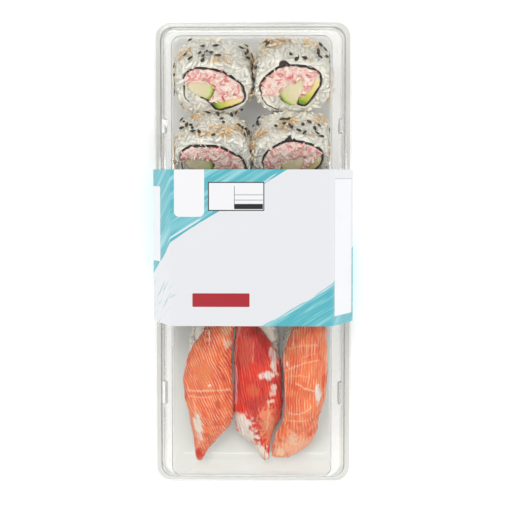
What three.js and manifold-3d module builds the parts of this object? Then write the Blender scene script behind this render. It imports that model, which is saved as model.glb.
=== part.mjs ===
// A takeaway sushi pack: a clear thermoformed tray and lid in a printed board sleeve. It holds six inside-out
// rolls, which lean on each other in three rows of two, and three crab stick nigiri.
// Millimetres, +Z up, +Y towards the rolls' end. The origin is under the middle of the pack, where it stands.
import * as THREE from "three";
import { mergeVertices } from "three/addons/utils/BufferGeometryUtils.js";
import Module from "manifold-3d";

const wasm = await Module();
wasm.setup();

// The pack
const packLength = 238; // over the lid's rim
const packWidth = 101.4;
const rimCorner = 8;
const rimDepth = 3; // how far the flat rim reaches past the walls
const rimHeight = 14; // top of the tray's rim
const lidTop = 42.4;
const lidTopHalfWidth = 38.2;
const lidTopHalfLength = 108.4;
const lidTopShift = -0.9; // the lid's top lies nearer the nigiri's end
const lidTopFillet = 1.8;
const floorHalfWidth = 42;
const floorHalfLength = 108;
const floorCorner = 6;
const sheet = 0.6; // thickness of the formed plastic
const gap = 0.3; // clearance between pieces that touch
const cornerSteps = 4;

// The stacking bars that stand on the lid's top
const barLength = 8;
const barWidth = 2.4;
const barHeight = 0.6;
const barSpread = 22; // from the middle line
const barPlaces = [-41, 102.5]; // along the pack

// The sleeve
const board = 0.45;
const sleeveFrom = -35;
const sleeveTo = 43;
const sleeveBottomHalfWidth = 46;
const foldRadius = 0.6;

// The rolls, each measured across its cut face
const rollWidth = 39;
const rollHeight = 33;
const rollThickness = 22;
const rollTilt = 38; // degrees between a cut face and the floor
const rollEdge = 1.6; // rounding of the rice at a cut
const rollSteps = 26; // points round the rice
const riceWobble = 0.014;
const noriThickness = 0.6;
const noriSteps = 30;
const flapDepth = 3;

// What the cut faces show, as outlines on the face. The nori's path starts at its outer end, and the fillings
// lie against it from the point numbered by against. The mouth is where rice meets them, past the inner end.
const cuts = {
  left: {
    nori: [
      [-12.1, -9.4], [-13.8, -6.8], [-15.5, -3.6], [-15.1, 2.9], [-15.2, 7.8], [-11.9, 11.4], [-8, 12.7],
      [-2.5, 12], [1.7, 11.4], [5.2, 10.1], [9.1, 6.8], [13.5, 2.9], [14.8, -2], [15, -6.4], [12.1, -9.1],
      [5.8, -11.4], [1.7, -12.7], [-1.1, -10.4], [-3, -7.5], [-7.4, -4.6],
    ],
    against: 3,
    mouth: [[-9.3, -3.2], [-12.4, -1.2]],
    cucumber: [
      [-13.6, 3], [-12.6, 4.7], [-9.1, 4.9], [-3, 3.6], [-0.3, 2.6], [0.3, -0.3], [-1.1, -3.6], [-3, -6.5],
      [-6.9, -4.6], [-13.8, 0],
    ],
    avocado: [
      [-1.4, -7.2], [1.1, -8.1], [8, -6.5], [14, -5], [14.6, -8], [5.8, -12], [1.7, -13], [-1.2, -10],
    ],
  },
  right: {
    nori: [
      [-4.8, -13.6], [-8.4, -13], [-12, -10.6], [-14.2, -6.7], [-15.3, -1.1], [-13.9, 3.7], [-11.2, 7],
      [-6.2, 11.5], [-1.2, 12.9], [4.6, 12.5], [10.1, 11.2], [14.2, 8.3], [15.3, 2.1], [12.9, -3.1],
      [9.7, -8.9], [7.3, -11.5], [3.4, -10.6],
    ],
    against: 3,
    mouth: [[0.4, -11.8], [-3.4, -9.8], [-6.6, -5.8]],
    cucumber: [
      [-5.9, -4.4], [-4.8, -2.4], [-1, 0.5], [2.6, 3.1], [5.4, 4.1], [6.2, 1.5], [5.7, -3.4], [4, -6.7],
      [2.9, -10.4], [0.4, -12.4], [-4, -10],
    ],
    avocado: [
      [13.2, 6.2], [16, 2.1], [13.4, -3.1], [10.6, -8.9], [7.3, -12.5], [3.5, -11.3], [4.6, -6.7],
      [7.6, -5], [9.8, -1.8], [11.5, 1.5], [12.2, 4.7],
    ],
    flap: [[-5, 11.4], [-5.4, 14.6], [-3.2, 15.4], [-1.4, 14.2], [-2, 12.4]],
  },
};
const rolls = [
  { cut: "left", x: -19.9, y: 90, phase: 0.4, shift: [0.9, 0], turn: 0, stretch: [1, 1] },
  { cut: "right", x: 19.9, y: 91, phase: 2.1, shift: [-0.6, 0.2], turn: 0, stretch: [1, 1] },
  { cut: "left", x: -19.9, y: 52.5, phase: 3.7, shift: [0.5, -0.3], turn: 5, stretch: [1.05, 0.97] },
  { cut: "right", x: 19.9, y: 53.7, phase: 5.2, shift: [0.4, 0], turn: -9, stretch: [0.96, 0.99] },
  { cut: "left", x: -19.9, y: 15, phase: 1.3, shift: [0.6, -0.2], turn: -4, stretch: [0.98, 0.96] },
  { cut: "right", x: 19.9, y: 16.3, phase: 4.4, shift: [-0.3, 0], turn: 6, stretch: [0.98, 0.95] },
];

// The nigiri. Each stick's stations run along the pack: [y, left edge, right edge, height of its back].
const riceBallLength = 66;
const riceBallWidth = 23;
const riceBallHeight = 19;
const riceBallY = -57;
const riceBallSquareness = 2.6;
const riceBallStations = 9;
const stickThickness = 9.5;
const stickSteps = 16;
const stickStations = 15;
const stickDrop = 0.42; // how far a stick's edges hang, as a share of its half width
const nigiri = [
  {
    x: -22,
    stick: [
      [-27, -17, -9.6, 25], [-36, -22, -9.4, 29], [-43.5, -28.5, -9.9, 30.8], [-51, -32.6, -10.7, 31.4],
      [-58, -34.7, -10.7, 31.4], [-69, -35.7, -10.7, 30.8], [-81, -33.4, -9.5, 28], [-89, -31.8, -11.8, 23],
      [-94.5, -31.2, -16.5, 18.5], [-100, -30.4, -21.2, 13.8], [-104.5, -30, -24.4, 10.2],
      [-108.6, -29.3, -26.8, 7.6],
    ],
  },
  {
    x: 2.9,
    stick: [
      [-27, -8.8, -1, 24], [-36, -9.2, 2.4, 27.2], [-44, -9.4, 8.4, 28.6], [-52, -9.6, 13.7, 29],
      [-59, -9.6, 15.1, 28.8],
      [-75, -9.5, 15.7, 27.6], [-85, -9.7, 14.6, 24.6], [-90, -9.9, 12.2, 20.2], [-93.5, -8.6, 10.4, 17],
      [-97.5, -4.6, 9.2, 13.8], [-101, -1.2, 8.8, 11.4], [-105, 2.6, 8.6, 9.4], [-108.6, 5.6, 8.3, 7.8],
    ],
  },
  {
    x: 26.3,
    stick: [
      [-27, 22, 35, 25], [-36, 20.6, 37.4, 29.4], [-42, 19.2, 38.3, 30.6], [-52, 15.2, 38.3, 31.4],
      [-61, 16, 38, 31.4], [-74, 16.5, 37, 30.6], [-81, 16.3, 34.8, 28.6], [-88.5, 14.4, 33.8, 24.4],
      [-95, 11.2, 32.8, 18.8], [-100, 9.8, 30.2, 14.6], [-104, 9.6, 26, 12.4], [-107.2, 10, 19.4, 9.4],
    ],
  },
];

const trayUnderside = board + gap;
const floorTop = trayUnderside + sheet;
const halfLength = packLength / 2;
const halfWidth = packWidth / 2;
const wallHalfWidth = halfWidth - rimDepth; // outer face of the lid's wall at the rim
const wallHalfLength = halfLength - rimDepth;
const wallCorner = rimCorner - rimDepth / 2;

const group = new THREE.Group();

function addPiece(name, geometry, color, roughness, opacity = 1) {
  const material = new THREE.MeshStandardMaterial({
    color, roughness, metalness: 0, opacity, transparent: opacity < 1, flatShading: true,
  });
  const mesh = new THREE.Mesh(geometry, material);
  mesh.name = name;
  group.add(mesh);
  return mesh;
}

// A closed surface through loops of equally many points, which run anticlockwise seen from the first
// one. A fan closes each end, or, when it isn't capped, the last loop joins the first.
function skin(loops, capped = true) {
  const size = loops[0].length;
  const points = loops.flat();
  const faces = [];
  const strips = capped ? loops.length - 1 : loops.length;
  for (let strip = 0; strip < strips; strip++) {
    const here = strip * size;
    const next = ((strip + 1) % loops.length) * size;
    for (let j = 0; j < size; j++) {
      const k = (j + 1) % size;
      faces.push(here + j, next + j, next + k, here + j, next + k, here + k);
    }
  }
  if (capped) {
    const last = loops.length - 1;
    for (const end of [0, last]) {
      const middle = points.length;
      const centre = loops[end].reduce((sum, p) => sum.add(p), new THREE.Vector3()).divideScalar(size);
      points.push(centre);
      for (let j = 0; j < size; j++) {
        const a = end * size + j;
        const b = end * size + ((j + 1) % size);
        faces.push(middle, ...(end === last ? [b, a] : [a, b]));
      }
    }
  }
  const geometry = new THREE.BufferGeometry();
  geometry.setAttribute("position", new THREE.Float32BufferAttribute(points.flatMap((p) => p.toArray()), 3));
  geometry.setIndex(faces);
  return geometry;
}

function solidOf(geometry) {
  const vertProperties = new Float32Array(geometry.attributes.position.array);
  const triVerts = new Uint32Array(geometry.index.array);
  return new wasm.Manifold(new wasm.Mesh({ numProp: 3, vertProperties, triVerts }));
}

// The largest body of a solid, as a geometry. Cutting can leave slivers beside it.
function geometryOf(solid) {
  const bodies = solid.decompose().sort((a, b) => b.volume() - a.volume());
  const mesh = bodies[0].getMesh();
  const geometry = new THREE.BufferGeometry();
  geometry.setAttribute("position", new THREE.BufferAttribute(new Float32Array(mesh.vertProperties), 3));
  geometry.setIndex(new THREE.BufferAttribute(new Uint32Array(mesh.triVerts), 1));
  return geometry;
}

// ---- The pack ----

function roundedRectangle(halfX, halfY, radius, z, shiftY = 0) {
  const points = [];
  const corners = [[1, 1], [-1, 1], [-1, -1], [1, -1]];
  corners.forEach(([signX, signY], quarter) => {
    for (let step = 0; step <= cornerSteps; step++) {
      const angle = (quarter + step / cornerSteps) * (Math.PI / 2);
      const x = signX * (halfX - radius) + radius * Math.cos(angle);
      const y = signY * (halfY - radius) + radius * Math.sin(angle);
      points.push(new THREE.Vector3(x, y + shiftY, z));
    }
  });
  return points;
}

function trayGeometry() {
  const edge = halfWidth - sheet - gap; // the tray's rim lies inside the lid's lip
  const edgeLength = halfLength - sheet - gap;
  const underRim = rimHeight - sheet;
  const bottomFillet = 2.5;
  return skin([
    roundedRectangle(
      floorHalfWidth - bottomFillet, floorHalfLength - bottomFillet, floorCorner - 1, floorTop,
    ),
    roundedRectangle(floorHalfWidth, floorHalfLength, floorCorner, floorTop + bottomFillet),
    roundedRectangle(wallHalfWidth - sheet - gap, wallHalfLength - sheet - gap, wallCorner, rimHeight),
    roundedRectangle(edge, edgeLength, rimCorner, rimHeight),
    roundedRectangle(edge, edgeLength, rimCorner, underRim),
    roundedRectangle(wallHalfWidth - gap, wallHalfLength - gap, wallCorner, underRim),
    roundedRectangle(floorHalfWidth + sheet, floorHalfLength + sheet, floorCorner, floorTop + bottomFillet),
    roundedRectangle(
      floorHalfWidth - bottomFillet, floorHalfLength - bottomFillet, floorCorner - 1, trayUnderside,
    ),
  ]);
}

// Loops up one face of the lid. inward is 0 on the outside and the sheet's thickness on the inside.
function lidWall(inward) {
  const top = lidTop - inward;
  const loops = [];
  const filletSteps = 3;
  for (let step = 0; step <= filletSteps; step++) {
    const angle = (step / filletSteps) * (Math.PI / 2);
    const out = lidTopFillet * Math.sin(angle) - inward;
    const down = lidTopFillet * (1 - Math.cos(angle));
    loops.push(
      roundedRectangle(
        lidTopHalfWidth + out, lidTopHalfLength + out, wallCorner - 1.5, top - down, lidTopShift,
      ),
    );
  }
  const foot = rimHeight + gap + sheet - inward;
  loops.push(roundedRectangle(wallHalfWidth - inward, wallHalfLength - inward, wallCorner, foot));
  return loops;
}

function lidGeometry() {
  const rimTop = rimHeight + gap + sheet;
  const lipBottom = rimHeight - sheet - gap;
  const shell = skin([
    ...lidWall(0),
    roundedRectangle(halfWidth, halfLength, rimCorner, rimTop),
    roundedRectangle(halfWidth, halfLength, rimCorner, lipBottom),
    roundedRectangle(halfWidth - sheet, halfLength - sheet, rimCorner - sheet, lipBottom),
    roundedRectangle(halfWidth - sheet, halfLength - sheet, rimCorner - sheet, rimTop - sheet),
    ...lidWall(sheet).reverse(),
  ]);
  let lid = solidOf(shell);
  for (const y of barPlaces) {
    for (const side of [-1, 1]) {
      const straight = (barLength - barWidth) / 2;
      const outline = new THREE.Shape()
        .absarc(0, straight, barWidth / 2, 0, Math.PI)
        .absarc(0, -straight, barWidth / 2, Math.PI, 2 * Math.PI);
      const foot = outline.getPoints(3).slice(0, -1);
      const bar = [lidTop + barHeight, lidTop - sheet / 2].map((z) =>
        foot.map((p) => new THREE.Vector3(p.x + side * barSpread, p.y + y, z)),
      );
      lid = lid.add(solidOf(skin(bar)));
    }
  }
  return geometryOf(lid);
}

// One wall of the sleeve, seen along the pack. outward is 0 on its inner face.
function sleeveOutline(outward) {
  const folds = [
    [lidTopHalfWidth + 1.7, lidTop + gap],
    [halfWidth + 0.75, rimHeight],
    [sleeveBottomHalfWidth, board],
  ].map(([x, z]) => new THREE.Vector2(x, z));
  const right = folds.map((p, i) => {
    const ways = [new THREE.Vector2(0.65, 1), new THREE.Vector2(1, -0.05), new THREE.Vector2(0.75, -1)];
    const outwards = ways[i];
    return p.clone().addScaledVector(outwards, outward);
  });
  const left = right.map((p) => new THREE.Vector2(-p.x, p.y)).reverse();
  const corners = [...right, ...left];
  const radius = foldRadius + outward;
  const outline = [];
  corners.forEach((corner, i) => {
    const before = corners.at(i - 1);
    const after = corners[(i + 1) % corners.length];
    const start = corner.clone().add(before.clone().sub(corner).setLength(radius));
    const end = corner.clone().add(after.clone().sub(corner).setLength(radius));
    outline.push(...new THREE.QuadraticBezierCurve(start, corner, end).getPoints(2));
  });
  return outline;
}

function sleeveGeometry() {
  const length = sleeveTo - sleeveFrom;
  const outer = sleeveOutline(board);
  const inner = sleeveOutline(0);
  // Each loop runs round the sleeve in the XZ plane, and the pack's length is the axis of the skin.
  const at = (outline, y) => outline.map((p) => new THREE.Vector3(p.x, y, p.y));
  return skin(
    [at(inner, sleeveTo), at(outer, sleeveTo), at(outer, sleeveTo - length), at(inner, sleeveTo - length)],
    false,
  );
}

// ---- The rolls ----

// Points round an uneven oval whose sides are moved out by grow.
function ovalOutline(width, height, wobble, phase, grow) {
  const squareness = 2.8;
  const points = [];
  for (let i = 0; i < rollSteps; i++) {
    const angle = (i / rollSteps) * 2 * Math.PI;
    const c = Math.cos(angle);
    const s = Math.sin(angle);
    const superRadius = (Math.abs(c / (width / 2)) ** squareness + Math.abs(s / (height / 2)) ** squareness)
      ** (-1 / squareness);
    const uneven = Math.sin(3 * angle + phase) + 0.6 * Math.sin(5 * angle + 2 * phase);
    const radius = superRadius * (1 + wobble * uneven) + grow;
    points.push(new THREE.Vector2(radius * c, radius * s));
  }
  return points;
}

function riceBlank(roll) {
  const half = rollThickness / 2;
  const ring = (grow, z) => {
    const outline = ovalOutline(rollWidth, rollHeight, riceWobble, roll.phase, grow);
    return outline.map((p) => new THREE.Vector3(p.x, p.y, z));
  };
  return solidOf(
    skin([
      ring(-rollEdge, half),
      ring(-rollEdge * 0.3, half - rollEdge * 0.3),
      ring(0, half - rollEdge * 1.3),
      ring(0, -half + rollEdge * 1.3),
      ring(-rollEdge * 0.3, -half + rollEdge * 0.3),
      ring(-rollEdge, -half),
    ]),
  );
}

// Face outlines sit on the roll's cut as its own turn, stretch and shift put them.
function placed(roll, outline) {
  const centre = new THREE.Vector2();
  const turn = THREE.MathUtils.degToRad(roll.turn);
  return outline.map(([x, y]) => {
    const point = new THREE.Vector2(x, y).rotateAround(centre, turn);
    return point.multiply(new THREE.Vector2(...roll.stretch)).add(new THREE.Vector2(...roll.shift));
  });
}

// A solid with this outline all through the roll, or only as deep as depth below its upper face.
function prism(outline, depth = rollThickness) {
  const geometry = new THREE.ExtrudeGeometry(new THREE.Shape(outline), { depth, bevelEnabled: false });
  geometry.translate(0, 0, rollThickness / 2 - depth);
  geometry.deleteAttribute("normal");
  geometry.deleteAttribute("uv");
  return solidOf(mergeVertices(geometry, 1e-4));
}

// A band of even thickness along an open path, which reaches past both of its ends by beyond.
function band(path, thickness, beyond = 0) {
  const last = path.length - 1;
  const sides = [1, -1].map((side) =>
    path.map((p, i) => {
      const along = path[Math.min(i + 1, last)].clone().sub(path[Math.max(i - 1, 0)]).normalize();
      const across = new THREE.Vector2(-along.y, along.x).multiplyScalar((side * thickness) / 2);
      const past = i === 0 ? -beyond : i === last ? beyond : 0;
      return p.clone().add(across).addScaledVector(along, past);
    }),
  );
  return prism([...sides[1], ...sides[0].reverse()]);
}

// A clockwise outline with every side moved out by the clearance between pieces.
function withClearance(outline) {
  return outline.map((p, i) => {
    const before = p.clone().sub(outline.at(i - 1)).normalize();
    const after = outline[(i + 1) % outline.length].clone().sub(p).normalize();
    const along = before.clone().add(after).normalize();
    const out = new THREE.Vector2(-along.y, along.x);
    return p.clone().addScaledVector(out, gap / Math.max(along.dot(after), 0.4));
  });
}

function rollSolids(roll) {
  const cut = cuts[roll.cut];
  const path = new THREE.SplineCurve(placed(roll, cut.nori)).getPoints(noriSteps);
  const from = Math.round((cut.against / (cut.nori.length - 1)) * noriSteps);
  const mouth = [path[noriSteps], ...placed(roll, cut.mouth), path[from]];
  const inside = prism([...path.slice(from), ...mouth.slice(1, -1)]);
  const cleared = band(path, noriThickness + 2 * gap, gap);
  const solids = {
    rice: riceBlank(roll).subtract(inside).subtract(cleared),
    nori: band(path, noriThickness),
  };
  if (cut.flap) {
    const flap = placed(roll, cut.flap);
    solids.nori = solids.nori.add(prism(flap, flapDepth).subtract(inside));
    solids.rice = solids.rice.subtract(prism(withClearance(flap), flapDepth + gap));
  }
  // Each filling is cut back from those before it, and the crab takes what is left.
  let free = inside.subtract(cleared).subtract(band(mouth, 2 * gap));
  for (const kind of ["cucumber", "avocado"]) {
    const outline = placed(roll, cut[kind]);
    solids[kind] = free.intersect(prism(outline));
    free = free.subtract(prism(withClearance(outline)));
  }
  solids.crab = free;
  return solids;
}

function addRoll(roll, number) {
  const finishes = {
    rice: [0xe9e9e4, 0.55], nori: [0x1c211b, 0.6], crab: [0xf0b9b0, 0.5], cucumber: [0xd5d3ae, 0.35],
    avocado: [0xc3c565, 0.45],
  };
  const solids = rollSolids(roll);
  const pieces = Object.entries(finishes).map(([kind, [color, roughness]]) =>
    addPiece(`roll_${number}_${kind}`, geometryOf(solids[kind]), color, roughness),
  );
  for (const piece of pieces) {
    piece.rotation.x = THREE.MathUtils.degToRad(rollTilt);
    piece.position.set(roll.x, roll.y, 0);
  }
  const lowest = new THREE.Box3().setFromObject(pieces[0], true).min.z;
  for (const piece of pieces) piece.position.z = floorTop + gap - lowest;
}

// ---- The nigiri ----

// A hand-pressed block of rice, rounded all over, as a skin of rings along the pack.
function riceBall(x, grow) {
  const loops = [];
  for (let i = 0; i < riceBallStations; i++) {
    const along = Math.cos((i / (riceBallStations - 1)) * Math.PI);
    const share = Math.max(1 - Math.abs(along) ** 3.2, 0.04) ** (1 / 2.6);
    const y = riceBallY + along * (riceBallLength / 2 + grow);
    const middle = riceBallHeight / 2;
    loops.push(
      Array.from({ length: stickSteps }, (_, j) => {
        const angle = (j / stickSteps) * 2 * Math.PI;
        const c = Math.cos(angle);
        const s = Math.sin(angle);
        const power = 2 / riceBallSquareness;
        return new THREE.Vector3(
          x - Math.sign(c) * Math.abs(c) ** power * (riceBallWidth / 2 + grow) * share,
          y,
          floorTop + gap + middle + Math.sign(s) * Math.abs(s) ** power * (middle + grow) * share,
        );
      }),
    );
  }
  return solidOf(skin(loops));
}

// A flattened crab stick: an arched slab through its stations, which hangs over both sides of its rice.
function crabStick(stations) {
  const curves = [1, 2, 3].map(
    (column) => new THREE.SplineCurve(stations.map((row) => new THREE.Vector2(row[0], row[column]))),
  );
  const loops = [];
  for (let i = 0; i < stickStations; i++) {
    const t = i / (stickStations - 1);
    const [left, right, back] = curves.map((curve) => curve.getPoint(t).y);
    const y = curves[0].getPoint(t).x;
    const half = (right - left) / 2;
    const thickness = Math.min(stickThickness, half * 1.1);
    loops.push(
      Array.from({ length: stickSteps }, (_, j) => {
        const angle = (j / stickSteps) * 2 * Math.PI;
        const across = -Math.cos(angle);
        const arch = -stickDrop * half * across ** 2;
        return new THREE.Vector3(
          (left + right) / 2 + across * half,
          y,
          back - thickness / 2 + arch + (Math.sin(angle) * thickness) / 2,
        );
      }),
    );
  }
  return solidOf(skin(loops));
}

function addNigiri({ x, stick }, number) {
  addPiece(`nigiri_${number}_rice`, geometryOf(riceBall(x, 0)), 0xe9e9e4, 0.55);
  const draped = crabStick(stick).subtract(riceBall(x, gap));
  addPiece(`nigiri_${number}_crab_stick`, geometryOf(draped), 0xe8703f, 0.4);
}

addPiece("tray", trayGeometry(), 0xe9eceb, 0.1, 0.3);
addPiece("lid", lidGeometry(), 0xe9eceb, 0.08, 0.3);
addPiece("sleeve", sleeveGeometry(), 0xebebef, 0.45);
rolls.forEach((roll, i) => addRoll(roll, i + 1));
nigiri.forEach((piece, i) => addNigiri(piece, i + 1));

export default group;
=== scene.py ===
from math import atan2, cos, degrees, pi, radians, sin, tan

import bmesh
import bpy
import numpy as np
from mathutils import Matrix, Vector


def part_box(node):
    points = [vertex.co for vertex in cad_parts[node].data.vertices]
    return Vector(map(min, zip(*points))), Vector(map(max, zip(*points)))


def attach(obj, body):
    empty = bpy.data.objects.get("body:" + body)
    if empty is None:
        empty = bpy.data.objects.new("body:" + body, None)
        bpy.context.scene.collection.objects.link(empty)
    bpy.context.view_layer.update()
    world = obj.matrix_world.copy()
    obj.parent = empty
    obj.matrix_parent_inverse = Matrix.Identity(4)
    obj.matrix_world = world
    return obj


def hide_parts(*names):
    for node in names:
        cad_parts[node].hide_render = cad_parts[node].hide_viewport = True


# A takeaway sushi pack: a clear tray and lid in a printed board sleeve, with six seeded rolls and three crab
# stick nigiri. The CAD is in metres here, and everything below is worked out in millimetres.

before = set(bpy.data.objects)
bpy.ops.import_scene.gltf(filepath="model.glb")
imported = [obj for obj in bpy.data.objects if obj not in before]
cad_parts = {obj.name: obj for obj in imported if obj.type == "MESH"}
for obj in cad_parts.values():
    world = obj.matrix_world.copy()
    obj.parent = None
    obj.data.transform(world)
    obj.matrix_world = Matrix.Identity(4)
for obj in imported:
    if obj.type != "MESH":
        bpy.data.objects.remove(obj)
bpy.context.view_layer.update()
scene = bpy.context.scene
mm = 0.001


# ---- small helpers ----

def linear(hexColour, alpha=1.0):
    channels = [int(hexColour[i:i + 2], 16) / 255 for i in (1, 3, 5)]
    return tuple(c / 12.92 if c < 0.04045 else ((c + 0.055) / 1.055) ** 2.4 for c in channels) + (alpha,)


def put(tree, kind, inputs=None, stops=None, **settings):
    # adds a node, sets it up, and joins or fills its sockets
    node = tree.nodes.new(kind)
    for name, value in settings.items():
        setattr(node, name, value)
    for socket, value in (inputs or {}).items():
        if isinstance(value, bpy.types.NodeSocket):
            tree.links.new(value, node.inputs[socket])
        else:
            node.inputs[socket].default_value = value
    if stops:
        ramp = node.color_ramp
        while len(ramp.elements) < len(stops):
            ramp.elements.new(0.5)
        for element, (position, colour) in zip(ramp.elements, stops):
            element.position = position
            element.color = colour if isinstance(colour, tuple) else linear(colour)
    return node.outputs[0] if node.outputs else node


def calc(tree, operation, a, b=0.0, clamp=False):
    return put(tree, "ShaderNodeMath", {0: a, 1: b}, operation=operation, use_clamp=clamp)


def swing(tree, field, amount=1.0, clamp=False):
    # a noise field centred on nothing, and as wide as the amount
    return calc(tree, "MULTIPLY", calc(tree, "SUBTRACT", field, 0.5), amount, clamp)


def turnedAboutZ(tree, vector, turn):
    return put(tree, "ShaderNodeVectorRotate", {"Vector": vector, "Angle": radians(turn)},
               rotation_type="Z_AXIS")


def blendColours(tree, amount, low, high, how="MIX"):
    node = put(tree, "ShaderNodeMix", {0: amount, 6: low, 7: high}, data_type="RGBA", blend_type=how).node
    return node.outputs[2]


def newMaterial(name, **values):
    material = bpy.data.materials.new(name)
    material.use_nodes = True
    tree = material.node_tree
    shader = tree.nodes["Principled BSDF"]
    for socket, value in values.items():
        words = {"ior": "IOR"}.get(socket, "".join(" " + c if c.isupper() else c for c in socket).title())
        shader.inputs[words].default_value = linear(value) if isinstance(value, str) else value
    return material, tree, shader


def coordinates(tree, scale=(1, 1, 1), turn=0.0, place=(0, 0, 0)):
    # object coordinates in millimetres, centred on a place, turned about Z and then stretched
    here = put(tree, "ShaderNodeTexCoord").node.outputs["Object"]
    inMm = put(tree, "ShaderNodeVectorMath", {0: here, 3: 1000.0}, operation="SCALE")
    moved = put(tree, "ShaderNodeVectorMath", {0: inMm, 1: place}, operation="SUBTRACT")
    turned = turnedAboutZ(tree, moved, turn)
    return put(tree, "ShaderNodeVectorMath", {0: turned, 1: scale}, operation="MULTIPLY")


def noise(tree, vector, size, detail=2.0, rough=0.5, distortion=0.0):
    # size is the distance in millimetres over which the noise changes
    return put(tree, "ShaderNodeTexNoise", {"Vector": vector, "Scale": 1 / size, "Detail": detail,
                                            "Roughness": rough, "Distortion": distortion})


def ramp(tree, value, stops):
    return put(tree, "ShaderNodeValToRGB", {0: value}, stops=stops)


def addBump(tree, shader, height, depthMm):
    bump = put(tree, "ShaderNodeBump", {"Height": height, "Strength": 1.0, "Distance": depthMm * mm})
    tree.links.new(bump, shader.inputs["Normal"])


def deselectAll():
    if bpy.context.object and bpy.context.object.mode != "OBJECT":
        bpy.ops.object.mode_set(mode="OBJECT")
    bpy.ops.object.select_all(action="DESELECT")


def activate(piece):
    deselectAll()
    piece.select_set(True)
    bpy.context.view_layer.objects.active = piece


def applyAll(piece):
    activate(piece)
    for modifier in list(piece.modifiers):
        bpy.ops.object.modifier_apply(modifier=modifier.name)


def settle(piece):
    activate(piece)
    bpy.ops.object.transform_apply(location=True, rotation=True, scale=True)


def dress(piece, name, material, slot, *nodes):
    # gives a finished piece its name, finish and place in the frame
    piece.name = name
    piece.data.materials.clear()
    piece.data.materials.append(material)
    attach(piece, "root")
    if nodes:
        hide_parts(*nodes)
    return piece


def copyOfNode(node, voxelMm=None):
    # a welded copy of a CAD node, remeshed to even faces when a voxel size is given
    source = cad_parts[node]
    piece = bpy.data.objects.new(node + "_work", source.data.copy())
    scene.collection.objects.link(piece)
    activate(piece)
    bpy.ops.object.mode_set(mode="EDIT")
    bpy.ops.mesh.select_all(action="SELECT")
    bpy.ops.mesh.remove_doubles(threshold=0.002 * mm)
    bpy.ops.object.mode_set(mode="OBJECT")
    if voxelMm:
        remesh = piece.modifiers.new("even", "REMESH")
        remesh.mode = "VOXEL"
        remesh.voxel_size = voxelMm * mm
        applyAll(piece)
    piece.data.shade_smooth()
    return piece


def relief(piece, layers, push=0.0):
    # Moves the surface along its normals by layers of noise. A layer is (size, depth, stretch, turn), in
    # millimetres and degrees, and push moves all of it.
    group = bpy.data.node_groups.new("relief", "GeometryNodeTree")
    group.interface.new_socket("Geometry", in_out="INPUT", socket_type="NodeSocketGeometry")
    group.interface.new_socket("Geometry", in_out="OUTPUT", socket_type="NodeSocketGeometry")
    start = put(group, "NodeGroupInput")
    place = put(group, "GeometryNodeInputPosition")
    inMm = put(group, "ShaderNodeVectorMath", {0: place, 3: 1000.0}, operation="SCALE")
    total = None
    for size, depth, stretch, turn in layers:
        turned = turnedAboutZ(group, inMm, turn)
        stretched = put(group, "ShaderNodeVectorMath", {0: turned, 1: stretch}, operation="MULTIPLY")
        height = swing(group, noise(group, stretched, size), 2 * depth * mm)
        total = height if total is None else calc(group, "ADD", total, height)
    total = calc(group, "ADD", total, push * mm)
    normal = put(group, "GeometryNodeInputNormal")
    offset = put(group, "ShaderNodeVectorMath", {0: normal, 3: total}, operation="SCALE")
    moved = put(group, "GeometryNodeSetPosition", {"Geometry": start, "Offset": offset})
    put(group, "NodeGroupOutput", {0: moved})
    piece.modifiers.new("relief", "NODES").node_group = group
    applyAll(piece)


def scatter(base, grain, spacingMm, seed, lift=0.0, lean=12.0, sizes=(0.85, 1.15), keepBase=True,
            density=None):
    # Lays copies of a grain on a surface, never nearer to each other than the spacing. The base's "where"
    # attribute says where they go, and each copy gets a "tone" of its own from 0 to 1.
    group = bpy.data.node_groups.new("scatter", "GeometryNodeTree")
    group.interface.new_socket("Geometry", in_out="INPUT", socket_type="NodeSocketGeometry")
    group.interface.new_socket("Geometry", in_out="OUTPUT", socket_type="NodeSocketGeometry")
    start = put(group, "NodeGroupInput")
    where = put(group, "GeometryNodeInputNamedAttribute", {"Name": "where"}, data_type="FLOAT")
    spread = put(group, "GeometryNodeDistributePointsOnFaces", {
        "Mesh": start, "Distance Min": spacingMm * mm, "Density Max": density or 1.4 / (spacingMm * mm) ** 2,
        "Density Factor": where, "Seed": seed}, distribute_method="POISSON").node
    most = radians(lean)
    spin = put(group, "FunctionNodeRandomValue", {"Min": (-most, -most, 0), "Max": (most, most, 2 * pi),
                                                  "Seed": seed + 1}, data_type="FLOAT_VECTOR")
    tilt = put(group, "FunctionNodeEulerToRotation", {0: spin})
    turned = put(group, "FunctionNodeRotateRotation", {0: spread.outputs["Rotation"], 1: tilt},
                 rotation_space="LOCAL")
    size = put(group, "FunctionNodeRandomValue", {2: sizes[0], 3: sizes[1], "Seed": seed + 2},
               data_type="FLOAT").node.outputs[1]
    model = put(group, "GeometryNodeObjectInfo", {"Object": grain}).node.outputs["Geometry"]
    upward = put(group, "ShaderNodeVectorMath", {0: spread.outputs["Normal"], 3: lift * mm},
                 operation="SCALE")
    raised = put(group, "GeometryNodeSetPosition", {"Geometry": spread.outputs["Points"], "Offset": upward})
    laid = put(group, "GeometryNodeInstanceOnPoints",
               {"Points": raised, "Instance": model, "Rotation": turned, "Scale": size})
    tone = put(group, "FunctionNodeRandomValue", {"Seed": seed + 3}, data_type="FLOAT").node.outputs[1]
    toned = put(group, "GeometryNodeStoreNamedAttribute", {"Geometry": laid, "Name": "tone", "Value": tone},
                data_type="FLOAT", domain="INSTANCE")
    real = put(group, "GeometryNodeRealizeInstances", {0: toned})
    if keepBase:
        joined = put(group, "GeometryNodeJoinGeometry")
        group.links.new(start, joined.node.inputs[0])
        group.links.new(real, joined.node.inputs[0])
        real = joined
    put(group, "NodeGroupOutput", {0: real})
    base.modifiers.new("scatter", "NODES").node_group = group
    applyAll(base)


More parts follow.
